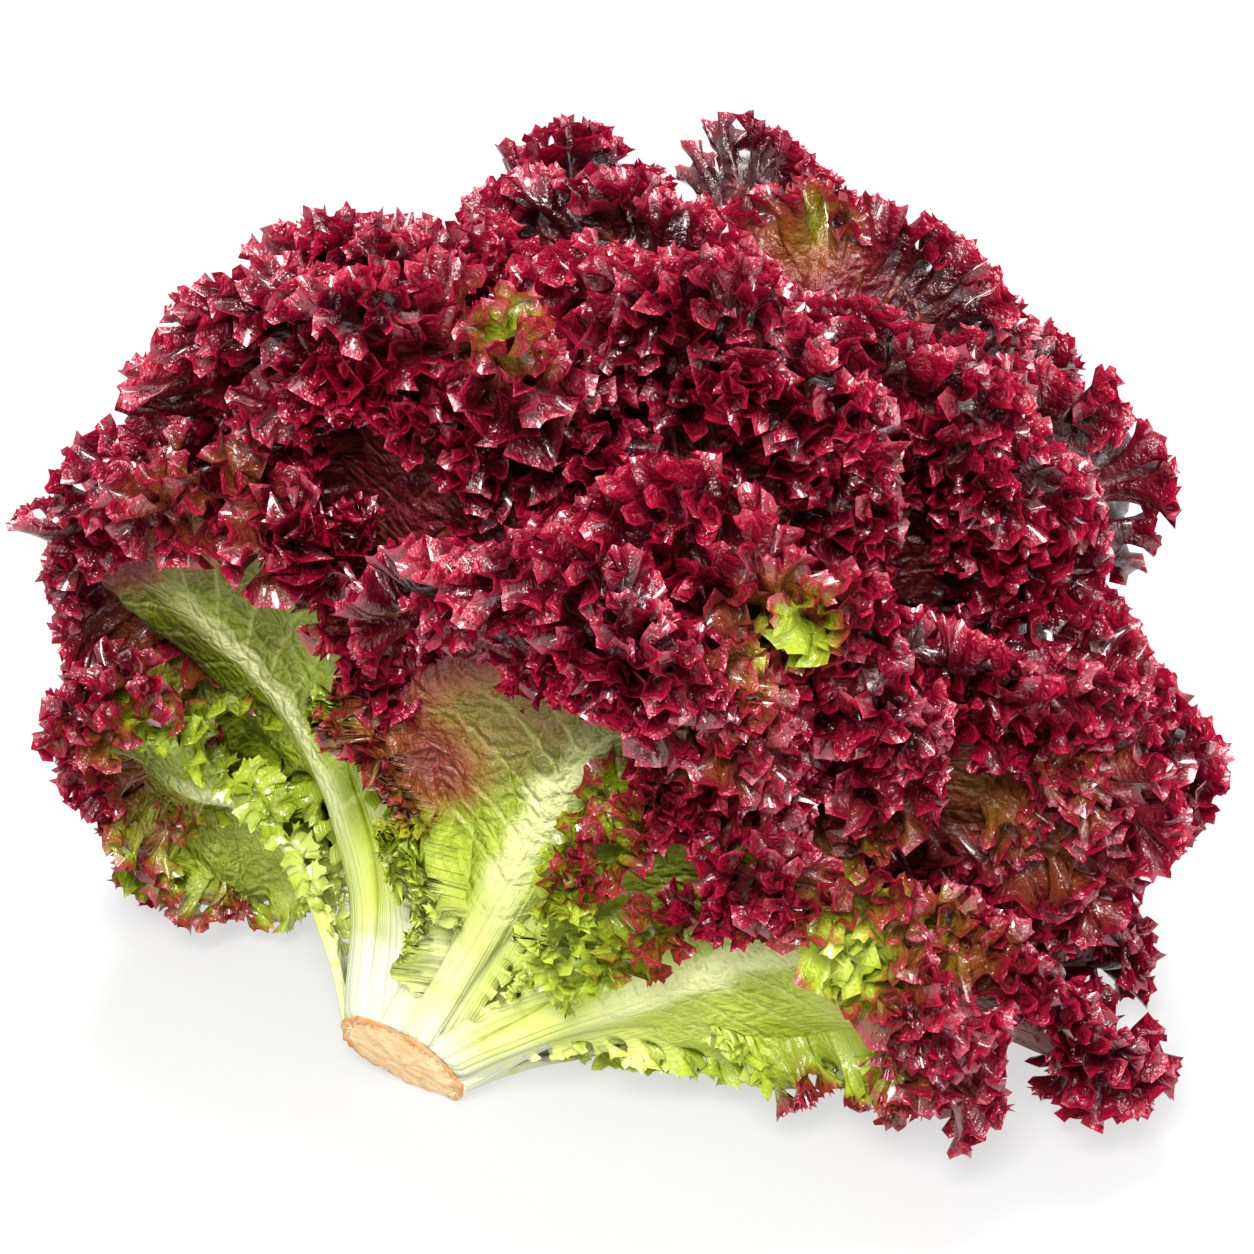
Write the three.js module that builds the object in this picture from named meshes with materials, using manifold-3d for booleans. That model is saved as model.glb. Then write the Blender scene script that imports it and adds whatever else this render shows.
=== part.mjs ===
// A head of lollo rosso lettuce, as cut, that lies on its side.
// Units are millimetres and +Z is up. +X runs from the cut butt towards the crown.
// Every leaf is first placed in an upright rosette round its own axis. The whole rosette then gives
// way by smooth rules that keep the order of its leaves, so leaves that lie clear of each other in
// the rosette are clear of each other as the head lies.
import * as THREE from "three";
import Module from "manifold-3d";
import { mergeVertices } from "three/addons/utils/BufferGeometryUtils.js";

const wasm = await Module();
wasm.setup();

const RADIANS = Math.PI / 180;

// The head as it lies
const AXIS_RISE = 39; // degrees that the head's axis rises from the surface
const BUTT_CENTRE = [-73.1, 4.1, 9.4]; // middle of the cut face
const FLOOR_BEND = 16; // height over which a leaf bends to lie along the surface
const FLOOR_BEND_REACH = [20, 100]; // distance from the butt over which it starts to do so

// Stem: a dome that narrows from the cut face to the heart
const STEM_RADIUS = 12.6;
const STEM_HEIGHT = 46; // where the dome would close
const STEM_TOP = 41; // where it ends, under the heart
const STEM_RINGS = [1.6, 8, 15, 22, 29, 35, 39.5];
const STEM_SIDES = 28;
const STEM_CHAMFER = 0.6; // of the cut face's edge
const CORE_RADII = [4.5, 8, 7]; // of the heart's core at its foot, its widest place and near its top
const CORE_HEIGHTS = [0.4, 26, 70, 80]; // over the stem, the last one its tip
const CORE_SIDES = 10;

// Where the leaves stand
const LEAF_COUNT = 34; // the heart's leaves included
const HEART_COUNT = 10;
const GOLDEN_ANGLE = 137.508;
const FIRST_TURN = -72; // azimuth of the outermost leaf, in degrees
const TURNED = { 0: -5, 3: -19, 4: -10, 5: -14 }; // leaves pushed out of the regular order, degrees
const TURN_SCATTER = 8; // degrees
const WIDEST_LEAN = 79; // degrees from the axis to the outermost leaf's tip
const START_LEAN = 0.58; // a rib leaves the stem at this share of the leaf's lean
const END_LEAN = 1.42; // and curves out to this share of it
const LOWEST_FOOT = 3; // height of the outermost leaf's foot over the cut face
const FOOT_STEP = 1.45; // height between two leaf feet low on the stem
const FOOT_STEP_GROWTH = 0.004; // how the step grows with each leaf
const HEART_FOOT_STEP = 2.5;
const FOOT_GAP = 0.35; // between a leaf's foot and the stem

// One leaf
const OUTER_LENGTH = 132; // of the outermost leaf
const INNER_LENGTH = 163; // of the leaves round the heart
const HEART_LENGTH = 0.91; // share of it for the heart's leaves
const HALF_WIDTH = 60;
const HEART_WIDTH = 0.55; // share of it for the innermost leaf
const BLADE = 1.1; // thickness of the blade
const RIB = 1.9; // what the rib adds at the foot, on the outer side
const RIB_HALF_WIDTH = 5;
const RIB_LENGTH = 0.8; // share of the leaf's length from which the last vein leaves the rib

// The blade's outline from the foot to the tip: share of the half width, share of the length
const HALF_OUTLINE = [
  [0.16, 0.0],
  [0.17, 0.13],
  [0.33, 0.29],
  [0.68, 0.44],
  [0.94, 0.6],
  [1.0, 0.76],
  [0.83, 0.91],
  [0.45, 0.985],
  [0.0, 1.0],
];

// Ruffles
const RUFFLE = 8; // height of a fold at the margin
const HEART_RUFFLE = 0.85; // share of it in the heart
const RUFFLE_TURN = 19; // folds all the way round the head, a whole number
const RUFFLE_REACH = 0.14; // how fast folds follow each other away from the butt, per mm
const RUFFLE_WANDER = 1.3; // how far the lines of folds wander, in radians of a fold
const RUFFLE_DRIFT = 0.25; // how far the folds shift from one leaf to the next
const RUFFLED_REACH = [40, 150]; // reach from the butt over which the folds grow to full height
const WAVE = 6; // height of the slow waves that run through all leaves alike
const WAVED_REACH = [60, 150];

// How the head has settled, each as a share, an azimuth round the axis and a width in degrees.
// Azimuth 0 is up, 90 is towards +Y and 180 is the side that lies on the surface.
const SETTLED_REACH = [45, 110]; // reach from the butt over which the head gives way
const SPREAD = { share: 0.18, azimuth: 98, width: 34 };
const PRESSED = { share: 0.4, azimuth: 182, width: 48 };
const DRAWN_IN = { share: 0.2, azimuth: -55, width: 45 };
const SHORTER = [
  { share: 0.32, azimuth: 76, width: 60 },
  { share: 0.14, azimuth: -62, width: 24 },
];

// Rows of a leaf's mesh: share of the way from the rib to the margin, and how many columns
const LEAF_ROWS = [
  [0, 12],
  [0.14, 12],
  [0.5, 24],
  [0.78, 48],
  [1, 48],
];
const HEART_ROWS = [
  [0, 12],
  [0.55, 24],
  [1, 24],
];
const MOST_CREASE = 1.6; // how far a sharp crease may lengthen the step to the blade's skin

const stemWhite = new THREE.MeshStandardMaterial({ color: 0xe4e3b4, roughness: 0.5, metalness: 0 });
const leafRed = new THREE.MeshStandardMaterial({ color: 0x6e1426, roughness: 0.35, metalness: 0 });
const heartRed = new THREE.MeshStandardMaterial({ color: 0x7c162a, roughness: 0.35, metalness: 0 });

const mix = (a, b, t) => a + (b - a) * t;

function smooth([low, high], x) {
  const t = Math.min(1, Math.max(0, (x - low) / (high - low)));
  return t * t * (3 - 2 * t);
}

// A number from -0.5 to 0.5 that is always the same for one leaf and one purpose
function scatter(leaf, purpose) {
  const x = Math.sin(leaf * 12.9898 + purpose * 78.233) * 43758.5453;
  return x - Math.floor(x) - 0.5;
}

// How much a place of the head shares in one way that it has settled
function lobe({ share, azimuth, width }, at) {
  const turned = at - azimuth * RADIANS;
  const off = Math.atan2(Math.sin(turned), Math.cos(turned));
  return share * Math.exp(-((off / (width * RADIANS)) ** 2));
}

const outline = new THREE.SplineCurve([
  ...HALF_OUTLINE.map(([x, y]) => new THREE.Vector2(-x, y)),
  ...HALF_OUTLINE.slice(0, -1).reverse().map(([x, y]) => new THREE.Vector2(x, y)),
]);

const stemRadius = (height) => STEM_RADIUS * Math.sqrt(1 - (height / STEM_HEIGHT) ** 2);

// What makes one leaf. Leaf 0 is the outermost, and the last is in the middle of the heart.
// The leaves' tips share the crown evenly, which sets how far each one leans from the axis.
function leafPlan(i) {
  const place = (LEAF_COUNT - i - 0.5) / LEAF_COUNT;
  const lean = Math.acos(1 - (1 - Math.cos(WIDEST_LEAN * RADIANS)) * place);
  const inHeart = i - (LEAF_COUNT - HEART_COUNT); // 0 or more for the heart's leaves
  const isHeart = inHeart >= 0;
  const turn = FIRST_TURN + i * GOLDEN_ANGLE + TURN_SCATTER * scatter(i, 1) + (TURNED[i] ?? 0);
  const footHeight = isHeart
    ? STEM_TOP + 2 + HEART_FOOT_STEP * inHeart
    : LOWEST_FOOT + FOOT_STEP * i * (1 + FOOT_STEP_GROWTH * i);
  const fullLength = mix(OUTER_LENGTH, INNER_LENGTH, smooth([-2, 15], i)) * (isHeart ? HEART_LENGTH : 1);
  return {
    index: i,
    azimuth: turn * RADIANS,
    startLean: lean * START_LEAN,
    endLean: lean * END_LEAN + 0.05 * scatter(i, 2),
    length: fullLength * (1 + 0.08 * scatter(i, 3)),
    halfWidth: HALF_WIDTH * mix(HEART_WIDTH, 1, smooth([0.2, 0.6], lean)) * (1 + 0.12 * scatter(i, 4)),
    footHeight,
    footRadius: isHeart ? CORE_RADII[0] : stemRadius(footHeight) + FOOT_GAP + BLADE / 2,
    rib: isHeart ? 0 : RIB * mix(0.4, 1, smooth([0.6, 1.3], lean)),
    ruffle: isHeart
      ? RUFFLE * HEART_RUFFLE * smooth([0, 0.8], lean)
      : RUFFLE * mix(0.5, 1, smooth([0.6, 1.15], lean)),
  };
}

// Places a point of the flat leaf on its curved shell round the axis: across runs from the rib and
// along from the foot. The place is given as seen from the butt: its azimuth round the axis, its
// reach and its lean from the axis.
function onShell(plan, across, along) {
  const bend = (plan.endLean - plan.startLean) / plan.length;
  const end = plan.startLean + bend * along;
  const radius = plan.footRadius + (Math.cos(plan.startLean) - Math.cos(end)) / bend;
  const height = plan.footHeight + (Math.sin(end) - Math.sin(plan.startLean)) / bend;
  return {
    azimuth: plan.azimuth + across / Math.max(radius, plan.footRadius),
    reach: Math.hypot(radius, height),
    lean: Math.atan2(radius, height),
  };
}

// Folds the blade in and out, with share 0 to 1 of the leaf's ruffle. Leaves that lie on each other
// fold nearly alike, so the folds of one rest in the folds of the next.
function folded(plan, { azimuth, reach, lean }, share) {
  const fold =
    RUFFLE_TURN * azimuth +
    RUFFLE_REACH * reach +
    RUFFLE_WANDER * Math.sin(0.05 * reach - 3 * azimuth) +
    RUFFLE_DRIFT * plan.index;
  const out = plan.ruffle * share * smooth(RUFFLED_REACH, reach) * Math.sin(fold);
  return { azimuth, reach, lean: lean + out / reach };
}

// The whole rosette is waved a little, spread to one side, pressed where it lies and shorter on two
// sides.
function settled({ azimuth, reach, lean }) {
  const gives = smooth(SETTLED_REACH, reach);
  const spread = lobe(SPREAD, azimuth) - lobe(PRESSED, azimuth) - lobe(DRAWN_IN, azimuth);
  const shorter = SHORTER.reduce((sum, side) => sum + lobe(side, azimuth), 0) * Math.sin(lean) ** 2;
  const slow = 0.6 * Math.sin(5 * azimuth + 0.03 * reach + 0.9) + 0.4 * Math.sin(9 * azimuth - 0.04 * reach);
  const wave = (WAVE / reach) * smooth(WAVED_REACH, reach) * slow * Math.sin(lean);
  return {
    azimuth,
    reach: reach * (1 - gives * shorter),
    lean: lean * (1 + gives * spread) + wave,
  };
}

// From the upright rosette to the head as it lies
function asItLies({ azimuth, reach, lean }) {
  const radius = reach * Math.sin(lean);
  const height = reach * Math.cos(lean);
  return new THREE.Vector3(height, radius * Math.sin(azimuth), radius * Math.cos(azimuth))
    .applyAxisAngle(new THREE.Vector3(0, -1, 0), AXIS_RISE * RADIANS)
    .add(new THREE.Vector3(...BUTT_CENTRE));
}

// Near the surface a leaf bends until it lies along it. The butt itself stays as it is.
function restOnFloor(point) {
  const away = Math.hypot(point.x - BUTT_CENTRE[0], point.y - BUTT_CENTRE[1]);
  const bend = Math.max(0.5, FLOOR_BEND * smooth(FLOOR_BEND_REACH, away));
  const z = point.z - BLADE / 2;
  if (z < bend) point.z = BLADE / 2 + Math.max(0, z + bend) ** 2 / (4 * bend);
  return point;
}

// A point of the leaf's middle layer. p runs round the margin from -1 to 1, from foot over tip to
// foot, and q from the rib to the margin, along a vein that rises as it goes out.
function leafPoint(plan, p, q) {
  const u = 1 - Math.abs(p);
  const edge = outline.getPoint((1 + p) / 2);
  const narrowed = mix(Math.min(1, plan.footRadius / STEM_RADIUS), 1, smooth([0, 0.3], u));
  const across = edge.x * narrowed * plan.halfWidth * q;
  const along = plan.length * mix(RIB_LENGTH * u ** 0.9, edge.y, q);
  const share = smooth([0.14, 0.42], u) * smooth([0.2, 1], q);
  const place = folded(plan, onShell(plan, across, along), share);
  const rib = plan.rib * Math.max(0, 1 - along / plan.length) * Math.exp(-((across / RIB_HALF_WIDTH) ** 2));
  return { position: restOnFloor(asItLies(settled(place))), rib };
}

// The middle layer's points, and its faces, which look away from the axis
function middleLayer(plan, rows) {
  const points = [];
  const index = rows.map(([q, columns]) =>
    Array.from({ length: columns + 1 }, (_, j) => {
      if (q === 0 && j > columns / 2) return columns - j;
      return points.push(leafPoint(plan, (2 * j) / columns - 1, q)) - 1;
    }),
  );
  const faces = [];
  for (let k = 0; k + 1 < rows.length; k++) {
    const [low, high] = [index[k], index[k + 1]];
    const step = (high.length - 1) / (low.length - 1); // 1, or 2 where the columns double
    for (let j = 0; j + 1 < low.length; j++) {
      const end = step * (j + 1);
      if (step === 2) faces.push([low[j], high[end - 2], high[end - 1]]);
      faces.push([low[j], high[end - 1], step === 2 ? low[j + 1] : high[end]]);
      faces.push(step === 2 ? [low[j + 1], high[end - 1], high[end]] : [low[j], high[end], low[j + 1]]);
    }
  }
  return { points, faces };
}

// Unit normals at the points, lengthened at a crease so that the blade keeps its thickness there
function skinSteps(points, faces) {
  const faceNormals = faces.map(([a, b, c]) => {
    const side = points[b].position.clone().sub(points[a].position);
    return side.cross(points[c].position.clone().sub(points[a].position));
  });
  const steps = points.map(() => new THREE.Vector3());
  faces.forEach((face, f) => face.forEach((v) => steps[v].add(faceNormals[f])));
  const areas = points.map(() => 0);
  faces.forEach((face, f) => face.forEach((v) => (areas[v] += faceNormals[f].length())));
  return steps.map((step, v) => step.setLength(Math.min(MOST_CREASE, areas[v] / step.length())));
}

// One leaf as a closed blade: an inner skin, an outer skin with the rib on it, and the rim between
function leafSolid(plan, rows) {
  const { points, faces } = middleLayer(plan, rows);
  const steps = skinSteps(points, faces);
  const skin = (side) =>
    points.flatMap(({ position, rib }, v) => {
      const half = side < 0 ? BLADE / 2 : BLADE / 2 + rib;
      const { x, y, z } = position.clone().addScaledVector(steps[v], side * half);
      return [x, y, Math.max(0, z)];
    });
  const outer = points.length;
  const triangles = faces.flatMap(([a, b, c]) => [a, c, b, a + outer, b + outer, c + outer]);
  const edges = faces.flatMap(([a, b, c]) => [`${a} ${b}`, `${b} ${c}`, `${c} ${a}`]);
  const known = new Set(edges);
  for (const edge of edges) {
    const [a, b] = edge.split(" ").map(Number);
    if (!known.has(`${b} ${a}`)) triangles.push(a, b, b + outer, a, b + outer, a + outer);
  }
  return solidFrom([...skin(-1), ...skin(1)], triangles);
}

function solidFrom(positions, triangles) {
  const vertProperties = new Float32Array(positions);
  const triVerts = new Uint32Array(triangles);
  return new wasm.Manifold(new wasm.Mesh({ numProp: 3, vertProperties, triVerts }));
}

function solidFromGeometry(geometry) {
  const bare = geometry.clone();
  bare.deleteAttribute("normal");
  bare.deleteAttribute("uv");
  const merged = mergeVertices(bare);
  return solidFrom(merged.attributes.position.array, merged.index.array);
}

// The largest closed body of a solid: a union can leave a crumb beside it
const largestBody = (solid) => solid.decompose().sort((a, b) => b.volume() - a.volume())[0];

// A shape turned on the head's axis, from a profile of radii and heights over the cut face
function turnedOnAxis(profile, sides) {
  const geometry = new THREE.LatheGeometry(profile.map(([r, h]) => new THREE.Vector2(r, h)), sides);
  geometry.rotateZ((AXIS_RISE - 90) * RADIANS);
  geometry.rotateX(Math.PI / 2);
  geometry.translate(...BUTT_CENTRE);
  return solidFromGeometry(geometry);
}

// The stem with its cut face, flat where its edge rests on the surface
function stemSolid() {
  const top = stemRadius(STEM_TOP) - FOOT_GAP;
  const profile = [
    [0, 0],
    [STEM_RADIUS - STEM_CHAMFER, 0],
    [STEM_RADIUS, STEM_CHAMFER],
    ...STEM_RINGS.map((height) => [stemRadius(height), height]),
    [top, STEM_TOP],
    [0, STEM_TOP],
  ];
  const stem = turnedOnAxis(profile, STEM_SIDES);
  const room = 4 * STEM_HEIGHT;
  const below = new THREE.BoxGeometry(room, room, room).translate(BUTT_CENTRE[0], BUTT_CENTRE[1], -room / 2);
  return largestBody(stem.subtract(solidFromGeometry(below)));
}

// The heart: small leaves, fused to a slim core that they stand out of
function heartSolid() {
  const [foot, widest, high, tip] = CORE_HEIGHTS.map((height) => STEM_TOP + height);
  const profile = [
    [0, foot],
    [CORE_RADII[0], foot],
    [CORE_RADII[1], widest],
    [CORE_RADII[2], high],
    [0, tip],
  ];
  let heart = turnedOnAxis(profile, CORE_SIDES);
  for (let i = LEAF_COUNT - HEART_COUNT; i < LEAF_COUNT; i++) {
    heart = heart.add(leafSolid(leafPlan(i), HEART_ROWS));
  }
  return largestBody(heart);
}

function meshFrom(solid, name, material) {
  const { vertProperties, triVerts } = solid.getMesh();
  const geometry = new THREE.BufferGeometry();
  geometry.setAttribute("position", new THREE.BufferAttribute(vertProperties, 3));
  geometry.setIndex(new THREE.BufferAttribute(triVerts, 1));
  geometry.computeVertexNormals();
  const mesh = new THREE.Mesh(geometry, material);
  mesh.name = name;
  return mesh;
}

const head = new THREE.Group();
head.add(meshFrom(stemSolid(), "stem_butt", stemWhite));
for (let i = 0; i < LEAF_COUNT - HEART_COUNT; i++) {
  const name = `leaf_${String(i + 1).padStart(2, "0")}`;
  head.add(meshFrom(leafSolid(leafPlan(i), LEAF_ROWS), name, leafRed));
}
head.add(meshFrom(heartSolid(), "heart_leaves", heartRed));

export default head;
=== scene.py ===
import math
from types import SimpleNamespace

import bpy
import numpy as np
from mathutils import Matrix, Vector


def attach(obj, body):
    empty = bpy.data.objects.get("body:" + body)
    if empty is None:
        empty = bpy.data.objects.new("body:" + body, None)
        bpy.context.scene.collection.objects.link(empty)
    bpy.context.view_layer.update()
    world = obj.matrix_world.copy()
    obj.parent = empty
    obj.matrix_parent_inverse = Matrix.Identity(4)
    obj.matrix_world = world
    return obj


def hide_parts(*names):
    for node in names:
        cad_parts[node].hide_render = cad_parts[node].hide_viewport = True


MM = 0.001
PHOTO_PIXELS = 1254

# The head as it lies, as in the solids
AXIS_RISE = math.radians(39)
AXIS = np.array([math.cos(AXIS_RISE), 0, math.sin(AXIS_RISE)])
TOP_SIDE = np.array([-math.sin(AXIS_RISE), 0, math.cos(AXIS_RISE)])  # azimuth 0
LEFT_SIDE = np.array([0, 1, 0])  # azimuth 90
BUTT_CENTRE = np.array([-73.1, 4.1, 9.4])
FLOOR_BEND = 16
FLOOR_BEND_REACH = (20, 100)
STEM_RADIUS = 12.6
STEM_HEIGHT = 46
STEM_TOP = 41
CORE_RADIUS = 4.5
LEAF_COUNT = 34
HEART_COUNT = 10
GOLDEN_ANGLE = 137.508
FIRST_TURN = -72
TURNED = {0: -5, 3: -19, 4: -10, 5: -14}
TURN_SCATTER = 8
WIDEST_LEAN = math.radians(79)
START_LEAN = 0.58
END_LEAN = 1.42
LOWEST_FOOT = 3
FOOT_STEP = 1.45
FOOT_STEP_GROWTH = 0.004
HEART_FOOT_STEP = 2.5
FOOT_GAP = 0.35
OUTER_LENGTH = 132
INNER_LENGTH = 163
HEART_LENGTH = 0.91
HALF_WIDTH = 60
HEART_WIDTH = 0.55
BLADE = 1.1
RIB_LENGTH = 0.8
HALF_OUTLINE = [
    (0.16, 0.0),
    (0.17, 0.13),
    (0.33, 0.29),
    (0.68, 0.44),
    (0.94, 0.6),
    (1.0, 0.76),
    (0.83, 0.91),
    (0.45, 0.985),
    (0.0, 1.0),
]
RUFFLE = 8
HEART_RUFFLE = 0.85
RUFFLE_TURN = 19
RUFFLE_REACH = 0.14
RUFFLE_WANDER = 1.3
RUFFLE_DRIFT = 0.25
RUFFLED_REACH = (40, 150)
WAVE = 6
WAVED_REACH = (60, 150)
SETTLED_REACH = (45, 110)
SPREAD = (0.18, 98, 34)  # share, azimuth and width in degrees
PRESSED = (0.4, 182, 48)
DRAWN_IN = (0.2, -55, 45)
SHORTER = [(0.32, 76, 60), (0.14, -62, 24)]

# What the solids leave out: the fine frills of a leaf's margin, from the broad to the fine.
# depth: how far in from the margin the blade starts to roll out and in, in mm
# share: and no more than this share of the way to the rib
# turn: how far the margin turns, in radians. growth: how late it does so
# pitch: margin from one roll to the next, in mm: at no depth, and what each mm of depth adds
# curl: how far the rolls overhang sideways, as a share of the pitch
ROLLS = [
    SimpleNamespace(depth=17, share=0.65, turn=1.15, growth=1.1, pitch=(4.6, 0.46), curl=0.26),
    SimpleNamespace(depth=7, share=0.5, turn=0.7, growth=1.0, pitch=(4.2, 0.62), curl=0.16),
]
TOOTH_DEPTH = 3.4
TOOTH = 1.4
TOOTH_COLUMNS = [2, 2, 3, 3, 4]  # from one tooth to the next
# More frills, folded up out of the blade on its outer face
# start, end: shares of the way round the margin. depth: in from the margin, in mm
CREST_FROM = 7  # the first leaf that has them all
OUTER_CRESTS = [SimpleNamespace(start=0.27, end=0.73, depth=21, height=13)]
INNER_CRESTS = [
    SimpleNamespace(start=0.17, end=0.83, depth=23, height=13),
    SimpleNamespace(start=0.26, end=0.74, depth=39, height=13),
]
MORE_CRESTS = {
    0: [
        SimpleNamespace(start=0.63, end=0.87, depth=20, height=17),
        SimpleNamespace(start=0.57, end=0.82, depth=53, height=17),
        SimpleNamespace(start=0.22, end=0.44, depth=31, height=15),
    ],
    3: [
        SimpleNamespace(start=0.74, end=0.91, depth=14, height=16),
        SimpleNamespace(start=0.85, end=0.97, depth=6, height=11),
        SimpleNamespace(start=0.36, end=0.66, depth=40, height=14),
    ],
    6: [SimpleNamespace(start=0.2, end=0.32, depth=7, height=12)],
    11: [SimpleNamespace(start=0.32, end=0.68, depth=54, height=14)],
}
CREST_TILT = math.radians(48)
CREST_ROLLS = [
    SimpleNamespace(depth=12.5, share=1, turn=1.2, growth=1.1, pitch=(4.6, 0.56), curl=0.26),
    SimpleNamespace(depth=6, share=1, turn=0.7, growth=1.0, pitch=(4.2, 0.62), curl=0.16),
]
SHEET = 0.4  # thickness of a real blade
FLESH = 3.6  # what the rib adds to it at the foot
FLESH_WIDTH = (8.5, 1.6)  # half width of the rib at the foot and at the tip
TRIMMED = 0.6  # where the feet are cut off, above the cut face of the stem
# The cut butt
BUTT_RADIUS = 14.2
BUTT_RINGS = [(0.3, 13.9), (1.3, 14.2), (2.4, 13.2), (5, 12.6), (12, 12), (22, 11), (32, 8.8), (41, 5.6)]
SCRAPS = [(-118, 3.4, 9), (-8, 4.2, 10), (6, 3.4, 7), (150, 3, 8), (-165, 3.4, 7)]  # azimuth, half width, height
# The cut isn't quite square: it is this steep, and highest at this azimuth
CUT_SLOPE = 0.15
CUT_HIGH = math.radians(-38)
# How the leaves have settled: their size across the floor and in height, next to the solids
SETTLED = np.array([0.972, 0.972, 1.028])

# And where they have been pushed a little further: place and reach in mm, and the move in mm
# to the right and upwards in the photo
PUSHED = [
    ((-49, 28, 183), 26, (0, -10)),
    ((2, 36, 172), 34, (5, 11)),
    ((54, 40, 158), 26, (0, 9)),
    ((58, -6, 172), 16, (0, -7)),
    ((64, -40, 146), 27, (4, 11)),
    ((66, -74, 116), 24, (6, 5)),
    ((-84, 90, 22), 28, (12, 8)),
]
PHOTO_RIGHT = np.array([0.649, -0.76, 0])
PHOTO_UP = np.array([0.309, 0.264, 0.914])
# A margin that runs closer to its rib: leaf, side, from and to (shares of the rib) and how close
DRAWN_MARGINS = [(1, -1, 0.1, 0.62, 0.3), (6, -1, 0.02, 0.3, 1.7), (6, 1, 0.02, 0.3, 1.7)]
# Ribs that are wider than the rest
WIDE_RIBS = {6: 1.9, 3: 1.15}

# Rows of a leaf's mesh: inner ones share the way from the rib, outer ones lie at these depths.
# A thick part round the rib has the first rows, and the thin frills have the rest.
INNER_ROWS = 6
ROW_DEPTHS = [30, 22.5, 16, 11, 7, 3.3, 0]
CREST_ROWS = [1, 0.58, 0.27, 0]  # depths, as shares of a crest's height
ROWS = INNER_ROWS + len(ROW_DEPTHS) - 1
THICK_ROWS = INNER_ROWS + 1
COLUMNS = 160
HEART_COLUMNS = 112
FRILL_COLUMNS = 2  # times the columns of the thick part, and doubled above these rows
DOUBLED_AT = (7, 9, 11)
CREST_COLUMNS = 480
CREST_DOUBLED_AT = (2,)

# Where a patch is greener (below 0) or redder, and younger (below 0) or riper, than the leaf
# round it: place and radius in mm, and the two changes
PATCHES = [
    ((34, -14, 167), 13, -0.85, -90),
    ((-67, -24, 172), 11, -1.0, -85),
    ((-57, -84, 124), 13, -1.1, -90),
    ((-67, -46, 70), 14, -0.45, -20),
    ((-58, -58, 64), 15, 0.28, 0),
    ((-68, -34, 100), 20, 0.27, 46),
    ((-27, -82, 66), 18, -0.6, -30),
    ((10, -91, 60), 19, -0.4, -10),
    ((24, -104, 40), 22, -0.22, 0),
    ((-68, -71, 96), 24, -0.38, -20),
    ((30, -100, 95), 14, -0.35, -10),
    ((3, -79, 72), 15, -0.4, -20),
    ((-34, -86, 33), 21, -0.75, -42),
    ((-55, -96, 62), 14, -0.7, -42),
    ((-76, -9, 84), 11, 0.7, 10),
    ((-95, 30, 135), 24, -0.5, -30),
    ((-89, 36, 122), 16, 0.2, 12),
    ((-74, 76, 50), 26, 0.2, 14),
    ((4, -108, 83), 15, -0.4, -20),
    ((-88, 62, 62), 22, -0.3, -10),
    ((-50, -88, 56), 13, -0.5, -16),
    ((-26, -84, 20), 16, -0.4, -20),
    ((-20, -98, 50), 14, -0.3, 8),
    ((30, -118, 30), 26, 0.0, 26),
    ((74, -76, 114), 14, -0.25, -30)
]

# Camera
VIEW_AZIMUTH = 310.5
VIEW_ELEVATION = 24
LENS = 100
SENSOR = 36
BUTT_DISTANCE = 714
BUTT_PIXEL = (401, 1060)


def mix(a, b, t):
    return a + (b - a) * t


def smooth(low, high, x):
    t = np.clip((x - low) / (high - low), 0, 1)
    return t * t * (3 - 2 * t)


def scatter(leaf, purpose):
    x = math.sin(leaf * 12.9898 + purpose * 78.233) * 43758.5453
    return x - math.floor(x) - 0.5


def lobe(side, at):
    share, azimuth, width = side
    turned = at - math.radians(azimuth)
    off = np.arctan2(np.sin(turned), np.cos(turned))
    return share * np.exp(-((off / math.radians(width)) ** 2))


OUTLINE = np.array([(-x, y) for x, y in HALF_OUTLINE] + [(x, y) for x, y in HALF_OUTLINE[-2::-1]])


def outline_at(t):
    """The blade's outline at t from 0 to 1: a smooth curve through its points"""
    place = np.clip(t, 0, 1) * (len(OUTLINE) - 1)
    k = np.minimum(place.astype(int), len(OUTLINE) - 2)
    w = (place - k)[..., None]
    before, start = OUTLINE[np.maximum(k - 1, 0)], OUTLINE[k]
    end, after = OUTLINE[k + 1], OUTLINE[np.minimum(k + 2, len(OUTLINE) - 1)]
    leave, arrive = (end - before) / 2, (after - start) / 2
    bend = (2 * start - 2 * end + leave + arrive) * w**3
    edge = bend + (-3 * start + 3 * end - 2 * leave - arrive) * w**2 + leave * w + start
    return edge[..., 0], edge[..., 1]


def stem_radius(height):
    return STEM_RADIUS * math.sqrt(1 - (height / STEM_HEIGHT) ** 2)


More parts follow.
